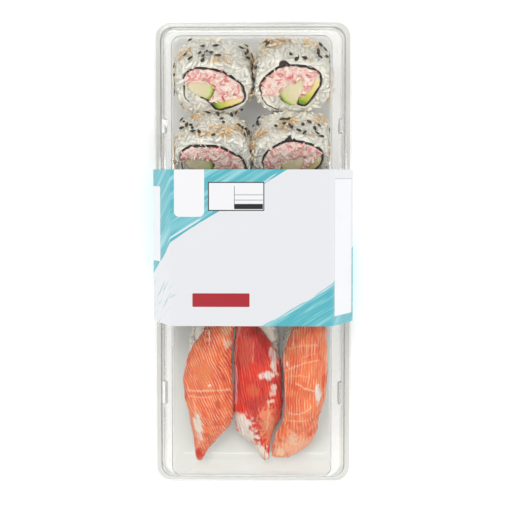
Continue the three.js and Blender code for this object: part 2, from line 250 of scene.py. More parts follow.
def pointArray(piece):
    flat = np.empty(len(piece.data.vertices) * 3)
    piece.data.vertices.foreach_get("co", flat)
    return flat.reshape(-1, 3)


def normalArray(piece):
    flat = np.empty(len(piece.data.vertices) * 3)
    piece.data.vertex_normals.foreach_get("vector", flat)
    return flat.reshape(-1, 3)


def storeValues(piece, name, values):
    layer = piece.data.attributes.get(name) or piece.data.attributes.new(name, "FLOAT", "POINT")
    layer.data.foreach_set("value", np.asarray(values, dtype=float))


def attribute(tree, name):
    return put(tree, "ShaderNodeAttribute", attribute_name=name).node.outputs["Fac"]


# ---- grains and seeds: one of each is modelled, and copied everywhere by scatter ----

grainValues = {
    "rice": {"length": 5.6, "width": 2.5, "height": 2.0, "point": 0.16, "bend": 0.25},
    "sesame": {"length": 3.2, "width": 1.9, "height": 0.9, "point": 0.62, "bend": 0.0},
    "shred": {"length": 5.2, "width": 1.3, "height": 0.9, "point": 0.1, "bend": 0.7},
}


def buildGrain(kind):
    v = grainValues[kind]
    deselectAll()
    bpy.ops.mesh.primitive_uv_sphere_add(segments=8, ring_count=6, radius=0.5 * mm, rotation=(0, pi / 2, 0))
    grain = bpy.context.object
    grain.scale = (v["height"], v["width"], v["length"])
    settle(grain)
    half = v["length"] / 2 * mm
    for vertex in grain.data.vertices:
        along = vertex.co.x / half
        vertex.co.y *= 1 - v["point"] * max(along, 0)  # a seed narrows to one end
        vertex.co.y += v["bend"] * mm * (along ** 2 - 0.5)  # and a grain is a little bent
    activate(grain)
    bpy.ops.object.mode_set(mode="EDIT")
    bpy.ops.mesh.select_all(action="SELECT")
    bpy.ops.mesh.vertices_smooth(factor=0.2)
    bpy.ops.object.mode_set(mode="OBJECT")
    bpy.ops.object.shade_smooth()
    grain.name = kind + "_grain"
    grain.hide_render = True
    return grain


grains = {kind: buildGrain(kind) for kind in grainValues}
print("grains modelled")


# ---- finishes ----

# Cooked short-grain rice: boiled and seasoned. Moist and a little see-through, so it glows softly and glints.
def makeRice(name, light, dark):
    material, tree, shader = newMaterial(name, roughness=0.44, ior=1.38, subsurfaceWeight=0.7,
                                         subsurfaceScale=3.0 * mm)
    shader.inputs["Subsurface Radius"].default_value = (1.0, 0.9, 0.8)
    own = calc(tree, "MULTIPLY", attribute(tree, "tone"), 0.6)
    shade = calc(tree, "ADD", own, calc(tree, "MULTIPLY", noise(tree, coordinates(tree), 5.0), 0.4))
    tree.links.new(ramp(tree, shade, [(0.1, dark), (0.6, light)]), shader.inputs["Base Color"])
    addBump(tree, shader, noise(tree, coordinates(tree), 0.5), 0.08)
    return material


riceFinish = makeRice("seasoned_cooked_rice", "#FFF8E6", "#EFE4CE")
nigiriRiceFinish = makeRice("pressed_cooked_rice", "#FFF7E8", "#EFE3CE")


# Nori: pressed and toasted seaweed. Almost black with a green cast, and dull but for damp glints.
def makeNori():
    material, tree, shader = newMaterial("toasted_nori", roughness=0.5, ior=1.45)
    mottle = noise(tree, coordinates(tree), 1.1, detail=3)
    tree.links.new(ramp(tree, mottle, [(0.35, "#160F09"), (0.52, "#2E2015"), (0.7, "#4E331D")]),
                   shader.inputs["Base Color"])
    addBump(tree, shader, noise(tree, coordinates(tree), 0.6), 0.15)
    return material


noriFinish = makeNori()


# Sesame seeds: hulled or black, roasted. Smooth, waxy skins that vary from seed to seed.
def makeSesame(name, stops):
    material, tree, shader = newMaterial(name, roughness=0.38, ior=1.47)
    tree.links.new(ramp(tree, attribute(tree, "tone"), stops), shader.inputs["Base Color"])
    return material


blackSesameFinish = makeSesame("black_sesame", [(0.0, "#14110E"), (0.7, "#1F1A17"), (1.0, "#3A322B")])
goldSesameFinish = makeSesame("toasted_sesame", [(0.0, "#B98A58"), (0.2, "#DDB785"), (0.6, "#ECD0A2"),
                                                 (1.0, "#F6E6CA")])


# Crab salad: shredded surimi in mayonnaise. Wet, pale pink strands with red on the outsides.
def makeCrabSalad():
    material, tree, shader = newMaterial("dressed_surimi_salad", roughness=0.32, ior=1.4,
                                         subsurfaceWeight=0.15, subsurfaceScale=1.0 * mm)
    flecks = noise(tree, coordinates(tree, scale=(1, 1.3, 1.3), turn=25), 2.3, detail=3, rough=0.62,
                   distortion=0.6)
    lumps = noise(tree, coordinates(tree), 3.6)
    shade = calc(tree, "ADD", calc(tree, "MULTIPLY", flecks, 0.72), calc(tree, "MULTIPLY", lumps, 0.28))
    base = ramp(tree, shade, [(0.38, "#FFF2E8"), (0.5, "#FBE0D6"), (0.57, "#F4B5B0"), (0.62, "#E4606A"),
                              (0.68, "#CC2E42")])
    own = ramp(tree, attribute(tree, "tone"), [(0.0, "#FFF4EA"), (0.5, "#FCE2D8"), (0.68, "#F5B4AF"),
                                               (0.8, "#E04A5A"), (1.0, "#C02438")])
    tree.links.new(blendColours(tree, 0.6, base, own), shader.inputs["Base Color"])
    addBump(tree, shader, noise(tree, coordinates(tree, scale=(1, 2.5, 1)), 0.9), 0.2)
    return material


crabFinish = makeCrabSalad()


# Cucumber: cut wet. Pale watery flesh that turns green and then dark at the skin.
def makeCucumber():
    material, tree, shader = newMaterial("cut_cucumber", roughness=0.25, ior=1.36, subsurfaceWeight=0.2,
                                         subsurfaceScale=1.2 * mm)
    wobble = swing(tree, noise(tree, coordinates(tree), 2.5), 0.1)
    depth = calc(tree, "ADD", attribute(tree, "skin"), wobble)
    flesh = ramp(tree, depth, [(0.0, "#E6DCBC"), (0.6, "#DED4AE"), (0.8, "#D3D79A"), (0.89, "#A3B84C"),
                               (0.95, "#5F8220"), (1.0, "#2A3C0E")])
    tree.links.new(flesh, shader.inputs["Base Color"])
    addBump(tree, shader, noise(tree, coordinates(tree), 1.2), 0.1)
    return material


cucumberFinish = makeCucumber()


# Avocado: ripe, knife cut. Buttery, from green under its skin to cream yellow.
def makeAvocado():
    material, tree, shader = newMaterial("ripe_avocado", roughness=0.36, ior=1.42, subsurfaceWeight=0.15,
                                         subsurfaceScale=1.0 * mm)
    wobble = swing(tree, noise(tree, coordinates(tree), 3.0), 0.22)
    along = calc(tree, "ADD", attribute(tree, "along"), wobble)
    flesh = ramp(tree, along, [(0.02, "#5F8016"), (0.16, "#A4BD33"), (0.4, "#DAD469"), (0.66, "#F2DF96"),
                               (1.0, "#F7E6B4")])
    tree.links.new(flesh, shader.inputs["Base Color"])
    addBump(tree, shader, noise(tree, coordinates(tree), 1.6), 0.12)
    return material


avocadoFinish = makeAvocado()
print("food finishes made")


# ---- the rolls ----

rollValues = {
    "tilt": 38.0, "riceVoxel": 0.9, "coreDepth": 0.9, "riceSpacing": 1.95, "clearOfNori": 1.55,
    "noriProud": 0.7, "cutDepth": 10.3,
    "cucumberAxis": {"left": (-4.75, 2.3), "right": (4.85, 2.1)},
    "avocadoWay": {"left": (1.0, 0.2), "right": (0.45, 0.89)},
    # seeds lie where a field of the given seed passes the threshold, so many to a square millimetre at most
    "seeds": {
        "black": {"finish": blackSesameFinish, "field": 31, "threshold": -0.1, "spacing": 2.1, "lift": 1.25,
                  "sizes": (0.9, 1.2), "density": 0.08},
        "gold": {"finish": goldSesameFinish, "field": 57, "threshold": 0.15, "spacing": 1.6, "lift": 1.0,
                 "sizes": (0.75, 1.0), "density": 0.5}},
}
rollTilt = Matrix.Rotation(radians(rollValues["tilt"]), 3, "X")
rollAxis = np.array(rollTilt @ Vector((0, 0, 1)))
acrossFace = np.array(rollTilt @ Vector((1, 0, 0)))
upFace = np.array(rollTilt @ Vector((0, 1, 0)))


def middleOf(node):
    low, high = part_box(node)
    return (np.array(low) + np.array(high)) / 2


def onFace(points, centre):
    # each point's place across and up the cut, and its depth along the roll, in millimetres
    away = (points - centre) / mm
    return away @ acrossFace, away @ upFace, away @ rollAxis


def cloudy(points, sizeMm, seed):
    # a smooth random field made of a few waves, for patches of seeds
    rng = np.random.default_rng(seed)
    waves = 7
    total = np.zeros(len(points))
    for _ in range(waves):
        way = rng.normal(size=3)
        way /= np.linalg.norm(way)
        turns = points @ way / (sizeMm * mm) * rng.uniform(0.6, 1.4)
        total += np.sin(turns * 2 * pi + rng.uniform(0, 2 * pi))
    return total / waves ** 0.5


def addRollRice(number):
    v = rollValues
    node = f"roll_{number}_rice"
    piece = copyOfNode(node, v["riceVoxel"])
    centre = middleOf(node)
    points = pointArray(piece)
    across, up, depth = onFace(points, centre)
    normals = normalArray(piece)
    radial = np.stack([across, up], axis=1)
    radial /= np.linalg.norm(radial, axis=1)[:, None] + 1e-9
    outward = (normals @ acrossFace) * radial[:, 0] + (normals @ upFace) * radial[:, 1]
    onCut = np.abs(normals @ rollAxis) > 0.6
    noriPoints = pointArray(frameNodeCopy(f"roll_{number}_nori"))
    nAcross, nUp, _ = onFace(noriPoints, centre)
    clear = np.array([np.min(np.hypot(nAcross - a, nUp - b)) for a, b in zip(across, up)])
    shown = np.where(onCut, clear > v["clearOfNori"], outward > 0.5)
    storeValues(piece, "where", shown)
    storeValues(piece, "tone", np.full(len(points), 0.7))
    seedBed = piece.copy()
    seedBed.data = piece.data.copy()
    scene.collection.objects.link(seedBed)
    offset = -v["coreDepth"] * mm * shown
    piece.data.vertices.foreach_set("co", (points + normals * offset[:, None]).ravel())
    scatter(piece, grains["rice"], v["riceSpacing"], 11 * number, lift=-0.2, lean=11)
    dress(piece, f"roll_{number}_rice_grains", riceFinish, "rice", node)
    side = (outward > 0.75) & (np.abs(depth) < v["cutDepth"])
    return seedBed, side


def frameNodeCopy(node):
    # a dense copy of a CAD node's corners, which measures how near other pieces come to it
    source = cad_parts[node]
    piece = bpy.data.objects.new("measure", source.data.copy())
    scene.collection.objects.link(piece)
    split = bmesh.new()
    split.from_mesh(piece.data)
    bmesh.ops.subdivide_edges(split, edges=split.edges[:], cuts=1)
    split.to_mesh(piece.data)
    split.free()
    piece.hide_render = True
    spare.append(piece)
    return piece


def addSeeds(beds):
    # seeds of each kind over all the rolls, joined into one piece for each kind
    for kind, look in rollValues["seeds"].items():
        laid = []
        for number, (bed, side) in enumerate(beds, 1):
            field = cloudy(pointArray(bed), 16, look["field"] + number)
            storeValues(bed, "where", side * np.clip((field - look["threshold"]) * 1.5, 0.05, 1))
            patch = bed.copy()
            patch.data = bed.data.copy()
            scene.collection.objects.link(patch)
            scatter(patch, grains["sesame"], look["spacing"], 7 * number + len(kind), lift=look["lift"],
                    lean=14, sizes=look["sizes"], keepBase=False, density=look["density"] / mm ** 2)
            laid.append(patch)
        activate(laid[0])
        for patch in laid[1:]:
            patch.select_set(True)
        bpy.ops.object.join()
        dress(bpy.context.object, f"{kind}_sesame_seeds", look["finish"], "rice")


def addNori(number):
    node = f"roll_{number}_nori"
    piece = copyOfNode(node)
    activate(piece)
    bpy.ops.object.mode_set(mode="EDIT")
    bpy.ops.mesh.select_all(action="SELECT")
    bpy.ops.mesh.subdivide(number_cuts=3, quadcorner="INNERVERT")
    bpy.ops.object.mode_set(mode="OBJECT")
    points = pointArray(piece)
    centre = middleOf(f"roll_{number}_rice")
    depth = onFace(points, centre)[2]
    proud = np.clip((np.abs(depth) - 8) / 3, 0, 1) * np.sign(depth)
    ragged = 0.6 + 0.5 * cloudy(points, 2.4, 90 + number)
    points += rollAxis * (proud * rollValues["noriProud"] * mm * ragged)[:, None]
    piece.data.vertices.foreach_set("co", points.ravel())
    relief(piece, [(2.4, 0.42, (1, 1, 1), 0), (1.0, 0.4, (1, 1, 1), 0)], push=-0.28)
    dress(piece, f"roll_{number}_nori_sheet", noriFinish, "nori", node)


def addCrab(number):
    node = f"roll_{number}_crab"
    piece = copyOfNode(node, 0.6)
    points = pointArray(piece)
    depth = onFace(points, middleOf(f"roll_{number}_rice"))[2]
    storeValues(piece, "where", (np.abs(depth) > rollValues["cutDepth"]) * 1.0)
    storeValues(piece, "tone", 0.25 + 0.5 * (cloudy(points, 4, number) > 0.4))
    lumps = np.clip(cloudy(points, 6, 40 + number), -1.2, 1.5) * 0.45 + 0.15
    cap = np.clip((np.abs(depth) - 8.5) / 2.5, 0, 1) * np.sign(depth)
    points += rollAxis * (cap * lumps * mm)[:, None]
    piece.data.vertices.foreach_set("co", points.ravel())
    relief(piece, [(1.5, 0.35, (1, 1.6, 1), 30)], push=0.25)
    scatter(piece, grains["shred"], 1.35, 5 * number, lift=0.15, lean=22, sizes=(0.5, 1.0))
    dress(piece, f"roll_{number}_crab_salad", crabFinish, "crab_salad", node)


def addCucumber(number):
    node = f"roll_{number}_cucumber"
    piece = copyOfNode(node, 0.5)
    kind = "left" if number % 2 else "right"
    across, up, _ = onFace(pointArray(piece), middleOf(f"roll_{number}_rice"))
    shift = rollValues["cucumberAxis"][kind]
    axis = ((across.min() + across.max()) / 2 + shift[0], (up.min() + up.max()) / 2 + shift[1])
    reach = np.hypot(across - axis[0], up - axis[1])
    storeValues(piece, "skin", reach / np.percentile(reach, 99.5))
    relief(piece, [(5, 0.2, (1, 1, 1), 0)], push=0.2)
    dress(piece, f"roll_{number}_cucumber_stick", cucumberFinish, "cucumber", node)


def addAvocado(number):
    node = f"roll_{number}_avocado"
    piece = copyOfNode(node, 0.5)
    way = rollValues["avocadoWay"]["left" if number % 2 else "right"]
    across, up, _ = onFace(pointArray(piece), middleOf(f"roll_{number}_rice"))
    along = across * way[0] + up * way[1]
    storeValues(piece, "along", (along - along.min()) / (along.max() - along.min()))
    relief(piece, [(4, 0.25, (1, 1, 1), 0)], push=0.2)
    dress(piece, f"roll_{number}_avocado_slice", avocadoFinish, "avocado", node)


spare = []
beds = [addRollRice(number) for number in range(1, 7)]
print("rice laid on the rolls")
addSeeds(beds)
spare += [bed for bed, _ in beds]
for number in range(1, 7):
    addNori(number)
    addCrab(number)
    addCucumber(number)
    addAvocado(number)
print("rolls filled")


# ---- the nigiri ----

nigiriValues = {"riceVoxel": 1.1, "coreDepth": 0.9, "riceSpacing": 2.0, "stickVoxel": 0.55}


def addNigiriRice(number):
    v = nigiriValues
    node = f"nigiri_{number}_rice"
    piece = copyOfNode(node, v["riceVoxel"])
    points = pointArray(piece)
    normals = normalArray(piece)
    # grains go all round, but not up under the stick, where nothing shows
    hidden = (normals[:, 2] > 0.75) & (points[:, 1] < points[:, 1].max() - 6 * mm)
    storeValues(piece, "where", 1.0 - hidden)
    storeValues(piece, "tone", np.full(len(points), 0.7))
    piece.data.vertices.foreach_set("co", (points - normals * v["coreDepth"] * mm).ravel())
    scatter(piece, grains["rice"], v["riceSpacing"], 211 * number, lift=-0.2, lean=11)
    dress(piece, f"nigiri_{number}_rice_grains", nigiriRiceFinish, "rice", node)


# Crab stick: surimi pressed into fibres and dyed on its outside. Moist, orange-red, with pale lines where the
# fibres part and white where the dye doesn't reach. The dark red streak and patch down the middle stick's
# right side are painted shade. Places and sizes are in millimetres: a patch is
# (x, y, half width, half height, turn, colour, strength), and a streak (x, y, x, y, bow, half width, colour).
stickLooks = [
    {"contrast": 0.62, "lean": 24, "fan": (0, -200, 0.0), "period": 1.3,
     "fibre": "#FBD2A8", "base": "#F0703A", "deep": "#DE4A24",
     "patches": [(-24.1, -60.7, 4.4, 7.5, 10, "#E27F4C", 0.75), (-27.9, -89, 2.3, 9.0, 4, "#E9DDCF", 1.0),
                 (-21.7, -66.6, 0.9, 0.9, 0, "#F4DDCB", 1.0), (-28.2, -104.6, 1.9, 2.6, 0, "#CB2A1C", 1.0),
                 (-17.5, -77.2, 1.3, 3.0, 0, "#D4502C", 0.9), (-12.8, -45.2, 2.0, 2.2, 0, "#F2CDB4", 0.9),
                 (-13.5, -38.5, 2.8, 3.4, 0, "#EDBF97", 0.7), (-22.5, -97, 1.0, 5.0, 14, "#D3532F", 0.7)],
     "streaks": [(-34, -69.9, -11, -69.6, 0.5, 0.6, "#F8D8B8"),
                 (-33, -72.6, -20, -72.4, -0.3, 0.5, "#F6CBA6"),
                 (-34, -71.2, -11, -71, 0.2, 0.5, "#D7552E"), (-35.6, -68, -33.2, -82, -0.3, 0.6, "#D8413A"),
                 (-33.2, -82, -30.2, -102, 0, 0.7, "#DC4A3B"),
                 (-30.6, -73.5, -29.4, -84, 0.6, 0.6, "#F1C2A2")]},
    {"contrast": 0.32, "lean": 10, "fan": (0, -200, 0.0), "period": 1.4,
     "fibre": "#F58A60", "base": "#DE2812", "deep": "#BC0F08",
     "patches": [(8.6, -89.0, 5.6, 13.5, 8, "#EF9168", 0.9), (-4.0, -51.0, 3.6, 8.5, 0, "#C94F38", 0.8),
                 (4.9, -48.5, 3.6, 9.4, 0, "#C31C18", 1.0),
                 (3.0, -75.0, 4.5, 3.2, 10, "#C22D20", 0.9), (11.0, -54.0, 2.1, 7.2, 3, "#E2D3CB", 1.0),
                 (8.0, -61.8, 4.0, 2.3, -8, "#E6DAD2", 1.0), (11.1, -67.8, 1.5, 2.4, 0, "#E4CFC6", 1.0),
                 (10.2, -71.6, 1.9, 1.6, 20, "#E3C4B8", 0.9), (9.4, -75.4, 1.9, 1.2, 10, "#F3D2BA", 0.9),
                 # the dark red patch at (12.9, -89) is painted shade on the stick's lower right side
                 (5.5, -62.3, 1.2, 1.0, 0, "#EDC3BC", 0.8), (12.9, -89.0, 2.2, 9.0, 4, "#BE4A30", 0.8),
                 (0.6, -69.5, 3.4, 3.2, 0, "#DE6A3E", 0.6), (-6.0, -86.5, 5.5, 5.2, 0, "#E9DED3", 1.0),
                 (-4.0, -93.5, 5.0, 7.5, 34, "#E8DDD2", 1.0), (2.8, -103.0, 3.4, 7.2, 36, "#EADACD", 1.0)],
     "streaks": [(-6.2, -36, -9.2, -56, -0.8, 0.9, "#F0BCAC"), (-9.2, -56, -9.0, -78, 0.6, 1.0, "#E6C9CD"),
                 (-7.3, -52, -7.6, -74, 0.4, 0.6, "#B4201F"), (0.8, -44, 0.1, -56, 0, 0.45, "#EFA27E"),
                 # the dark red streak at x 14.8 is painted shade down the stick's right side
                 (14.7, -60, 14.9, -80, 0, 0.9, "#9E1712"), (8.2, -76, 7.0, -92, 0.4, 0.6, "#F4C8A6"),
                 (-3.4, -37, -5.6, -44, 0, 0.7, "#C02A22")]},
    {"contrast": 0.6, "lean": -2, "fan": (21, -82, 0.022), "period": 1.3,
     "fibre": "#FBCCA2", "base": "#F2753E", "deep": "#E0502A",
     "patches": [(22.0, -101.0, 12.0, 7.0, 0, "#F3BE9E", 0.6), (33.4, -71.0, 1.7, 5.4, 5, "#EBDDD4", 1.0),
                 (17.6, -56.5, 0.6, 1.7, 0, "#F5DCD0", 1.0),
                 (28.0, -70.5, 3.4, 3.0, 0, "#DD6F42", 0.6), (23.0, -50.0, 5.0, 3.4, 0, "#E0713F", 0.5),
                 (13.2, -104.0, 3.4, 3.0, 0, "#EFC7A6", 0.8), (20.5, -95.5, 3.0, 4.0, 10, "#F1CBAA", 0.6)],
     "streaks": [(16.2, -60.2, 34.5, -53.8, 1.6, 0.55, "#F7CBA2"),
                 (16.4, -63.8, 29, -62.4, 1.6, 0.5, "#F4BF98"),
                 (21.5, -65, 32.5, -69.6, -0.4, 0.6, "#F8D6BC"),
                 (17.4, -81, 30.5, -77, -2.2, 0.6, "#F8D2B4"),
                 (17.2, -85.2, 28.5, -84.6, -0.4, 0.5, "#F5C6A0"),
                 (17.5, -48.5, 34, -46, 1.0, 0.5, "#F4BD94"),
                 (16.0, -50, 16.9, -84, 0.2, 0.5, "#F3C9BC"), (16.9, -84, 10.2, -102, -1.0, 0.55, "#F7D6C4"),
                 (37.4, -34, 37.6, -62, 0, 0.6, "#F1B8AC"), (24, -52.5, 33, -50.5, 0.6, 0.4, "#F2B58A")]},
]


def makeStickFinish(number, look):
    material, tree, shader = newMaterial(f"dyed_surimi_{number}", roughness=0.3, ior=1.4,
                                         subsurfaceWeight=0.1, subsurfaceScale=0.8 * mm)
    place = coordinates(tree)
    x, y, z = put(tree, "ShaderNodeSeparateXYZ", {0: place}).node.outputs
    fanX, fanY, fanRate = look["fan"]
    below = calc(tree, "MAXIMUM", calc(tree, "SUBTRACT", fanY, y), 0.0)
    opened = calc(tree, "ADD", 1.0, calc(tree, "MULTIPLY", below, fanRate))
    fanned = calc(tree, "DIVIDE", calc(tree, "SUBTRACT", x, fanX), opened)
    lean = radians(look["lean"])
    straight = calc(tree, "MULTIPLY", fanned, cos(lean))
    across = calc(tree, "ADD", straight, calc(tree, "MULTIPLY", y, sin(lean)))
    sway = swing(tree, noise(tree, coordinates(tree, scale=(1, 0.5, 0.5)), 8), 3.0)
    # fibres about a millimetre apart, as fine as still shows
    fibrePlace = put(tree, "ShaderNodeCombineXYZ", {
        0: calc(tree, "ADD", across, sway), 1: calc(tree, "MULTIPLY", y, 0.12),
        2: calc(tree, "MULTIPLY", z, 0.05)})
    wave = put(tree, "ShaderNodeTexWave", {
        "Vector": fibrePlace, "Scale": 0.314 / look["period"], "Distortion": 1.7, "Detail": 2.0,
        "Detail Scale": 1.2, "Detail Roughness": 0.5}).node.outputs["Fac"]
    lines = ramp(tree, wave, [(0.42, (0, 0, 0, 1)), (0.85, (1, 1, 1, 1))])
    broken = ramp(tree, noise(tree, coordinates(tree, scale=(1, 0.5, 1), turn=-look["lean"]), 3.0, detail=3),
                  [(0.38, (0.05, 0.05, 0.05, 1)), (0.6, (1, 1, 1, 1))])
    cloud = noise(tree, coordinates(tree, scale=(1, 0.5, 1), turn=-look["lean"]), 4.5, detail=3)
    ground = ramp(tree, cloud, [(0.36, look["deep"]), (0.56, look["base"])])
    share = calc(tree, "MULTIPLY", calc(tree, "MULTIPLY", lines, broken), look["contrast"])
    colour = blendColours(tree, share, ground, linear(look["fibre"]))
    ragged = swing(tree, noise(tree, coordinates(tree, scale=(1, 0.4, 1), turn=-look["lean"]), 1.6, detail=3))

    def lay(near, tint):
        return blendColours(tree, near, colour, linear(tint))

    for x0, y0, rx, ry, turn, tint, strength in look["patches"]:
        spot = coordinates(tree, scale=(1 / rx, 1 / ry, 0), turn=-turn, place=(x0, y0, 0))
        reach = put(tree, "ShaderNodeVectorMath", {0: spot}, operation="LENGTH").node.outputs["Value"]
        edge = calc(tree, "ADD", reach, calc(tree, "MULTIPLY", ragged, 2.6))
        near = calc(tree, "MULTIPLY", calc(tree, "SUBTRACT", 1.15, edge), 1.7, clamp=True)
        colour = lay(calc(tree, "MULTIPLY", near, strength), tint)
    for x0, y0, x1, y1, bow, width, tint in look["streaks"]:
        half = ((x1 - x0) ** 2 + (y1 - y0) ** 2) ** 0.5 / 2
        spot = coordinates(tree, turn=-degrees(atan2(y1 - y0, x1 - x0)),
                           place=((x0 + x1) / 2, (y0 + y1) / 2, 0))
        along, off, _ = put(tree, "ShaderNodeSeparateXYZ", {0: spot}).node.outputs
        share = calc(tree, "DIVIDE", along, half)
        arch = calc(tree, "MULTIPLY", calc(tree, "SUBTRACT", 1.0, calc(tree, "MULTIPLY", share, share)), bow)
        off = calc(tree, "SUBTRACT", off, arch)
        away = calc(tree, "ABSOLUTE", calc(tree, "ADD", off, calc(tree, "MULTIPLY", ragged, 2.0)))
        near = calc(tree, "SUBTRACT", 1.2, calc(tree, "DIVIDE", away, width), clamp=True)
        fromEnd = calc(tree, "SUBTRACT", 1.0, calc(tree, "ABSOLUTE", share))
        ends = calc(tree, "MULTIPLY", fromEnd, half, clamp=True)
        colour = lay(calc(tree, "MULTIPLY", calc(tree, "MULTIPLY", near, ends), 0.55), tint)
    tree.links.new(colour, shader.inputs["Base Color"])
    addBump(tree, shader, wave, 0.28)
    return material


def addCrabStick(number, look):
    node = f"nigiri_{number}_crab_stick"
    piece = copyOfNode(node, nigiriValues["stickVoxel"])
    smooth = piece.modifiers.new("soften", "LAPLACIANSMOOTH")
    smooth.iterations = 3
    smooth.lambda_factor = 1.2
    smooth.lambda_border = 0
    smooth.use_volume_preserve = True
    applyAll(piece)
    turn = -look["lean"]
    relief(piece, [(8, 1.2, (1, 0.6, 1), turn), (2.6, 0.6, (1, 0.22, 0.6), turn),
                   (1.1, 0.24, (1, 0.14, 0.4), turn)], push=0.15)
    dress(piece, f"nigiri_{number}_crab_stick_skin", makeStickFinish(number, look), "crab_stick", node)


for number, look in enumerate(stickLooks, 1):
    addNigiriRice(number)
    addCrabStick(number, look)
print("nigiri made")


# ---- the clear tray and lid ----

# APET: extruded sheet, thermoformed. Glass clear, with sharp glints on its bends and a faint grey of its own.
packValues = {"lid": "#F7F7F5", "tray": "#DFDFDC", "roughness": 0.05, "ior": 1.46, "wall": 0.36,
              "cornerSteps": 8, "smoothBelow": 38}


def makeClearSheet(name, tint):
    material, tree, shader = newMaterial(name, baseColor=tint, roughness=packValues["roughness"],
                                         ior=packValues["ior"], transmissionWeight=1.0)
    # lamps shine through it on to the food
    clear = put(tree, "ShaderNodeBsdfTransparent", {"Color": linear("#FFFFFF")})
    shadowRay = put(tree, "ShaderNodeLightPath").node.outputs["Is Shadow Ray"]
    mixed = put(tree, "ShaderNodeMixShader", {0: shadowRay, 1: shader.outputs[0], 2: clear})
    tree.links.new(mixed, tree.nodes["Material Output"].inputs["Surface"])
    return material


lidFinish = makeClearSheet("formed_apet_lid", packValues["lid"])
trayFinish = makeClearSheet("formed_apet_tray", packValues["tray"])

trayLow, trayHigh = [np.array(corner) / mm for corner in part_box("tray")]
lidLow, lidHigh = [np.array(corner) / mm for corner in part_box("lid")]


def roundedPlace(angleShare, quarter, halfX, halfY, corner):
    # a point on a rounded rectangle: a quarter of it, and how far round that corner
    signX, signY = ((1, 1), (-1, 1), (-1, -1), (1, -1))[quarter]
    angle = quarter * pi / 2 + angleShare * pi / 2
    return signX * (halfX - corner) + corner * cos(angle), signY * (halfY - corner) + corner * sin(angle)


def formedSheet(name, profile):
    # Draws a rounded plate out loop by loop, as the sheet is drawn over its mould. A step of the profile is
    # (half width, half length, height, corner radius, shift along the pack).
    steps = packValues["cornerSteps"]
    deselectAll()
    bpy.ops.mesh.primitive_circle_add(vertices=4 * steps + 4, radius=mm, fill_type="NGON")
    piece = bpy.context.object
    bpy.ops.object.mode_set(mode="EDIT")
    bpy.ops.mesh.select_all(action="SELECT")
    bpy.ops.mesh.region_to_loop()
    for index, (halfX, halfY, z, corner, shift) in enumerate(profile):
        if index:
            bpy.ops.mesh.extrude_edges_move(TRANSFORM_OT_translate={"value": (0, 0, 0.001 * mm)})
        edit = bmesh.from_edit_mesh(piece.data)
        loop = [vertex for vertex in edit.verts if vertex.select]
        order = sorted(loop, key=lambda vertex: atan2(vertex.co.y, vertex.co.x) % (2 * pi))
        for place, vertex in enumerate(order):
            x, y = roundedPlace(place % (steps + 1) / steps, place // (steps + 1), halfX, halfY, corner)
            vertex.co = (x * mm, (y + shift) * mm, z * mm)
        bmesh.update_edit_mesh(piece.data)
    bpy.ops.mesh.select_all(action="SELECT")
    bpy.ops.mesh.normals_make_consistent(inside=False)
    bpy.ops.object.mode_set(mode="OBJECT")
    if piece.data.polygons[0].normal.z < 0:
        piece.data.flip_normals()
    wall = piece.modifiers.new("wall", "SOLIDIFY")
    wall.thickness = packValues["wall"] * mm
    wall.offset = -1
    applyAll(piece)
    bpy.ops.object.shade_smooth_by_angle(angle=radians(packValues["smoothBelow"]))
    piece.name = name
    return piece


def filletLoops(halfX, halfY, top, radius, corner, shift, steps=4):
    loops = []
    for step in range(steps + 1):
        angle = step / steps * pi / 2
        inset = radius - radius * sin(angle)
        loops.append((halfX - inset, halfY - inset, top - radius * (1 - cos(angle)), corner - inset, shift))
    return loops


def addLid():
    rimX, rimY = lidHigh[0], lidHigh[1]
    top = lidHigh[2] - 0.6
    wallX, wallY = rimX - 3, rimY - 3
    profile = filletLoops(40, 110.2, top, 1.8, 5.2, -0.9) + [
        (wallX - 1.9, wallY - 1.6, 20.4, 6.0, -0.15), (wallX - 1.6, wallY - 1.3, 19.9, 6.1, -0.1),
        (wallX - 0.9, wallY - 0.9, 19.6, 6.3, -0.1), (wallX - 0.6, wallY - 0.6, 19.1, 6.4, 0),
        (wallX - 0.1, wallY - 0.1, 15.6, 6.5, 0), (wallX + 0.2, wallY + 0.2, 15.05, 6.6, 0),
        (wallX + 0.7, wallY + 0.7, 14.9, 6.8, 0), (rimX - 0.5, rimY - 0.5, 14.9, 8, 0),
        (rimX - 0.12, rimY - 0.12, 14.75, 8.3, 0), (rimX, rimY, 14.35, 8.4, 0),
        (rimX, rimY, lidLow[2], 8.4, 0)]
    piece = formedSheet("lid_work", profile)
    # stacking bars on the top and lock buttons on the long walls
    lugs = [((side * 22, y, top), (2.2, 8.0, 1.1), 1.05) for side in (-1, 1) for y in (-41, 102.5)]
    lugs += [((side * 45.2, y, 23), (2.2, length, 4.0), 1.0) for side in (-1, 1)
             for y, length in ((-71, 12), (65, 8))]
    for (x, y, z), (wide, long, high), rounding in lugs:
        deselectAll()
        bpy.ops.mesh.primitive_cube_add(size=1, location=(x * mm, y * mm, z * mm))
        lug = bpy.context.object
        lug.scale = (wide * mm, long * mm, high * mm)
        settle(lug)
        bpy.ops.object.mode_set(mode="EDIT")
        bpy.ops.mesh.select_all(action="SELECT")
        bpy.ops.mesh.bevel(offset=rounding * mm * min(1, high / 2.2), segments=4, affect="EDGES")
        bpy.ops.object.mode_set(mode="OBJECT")
        merge = piece.modifiers.new("lug", "BOOLEAN")
        merge.operation = "UNION"
        merge.object = lug
        applyAll(piece)
        bpy.data.objects.remove(lug)
    activate(piece)
    bpy.ops.object.shade_smooth_by_angle(angle=radians(packValues["smoothBelow"]))
    even = piece.modifiers.new("even", "WEIGHTED_NORMAL")
    even.keep_sharp = True
    applyAll(piece)
    dress(piece, "clear_lid", lidFinish, "lid_plastic", "lid")


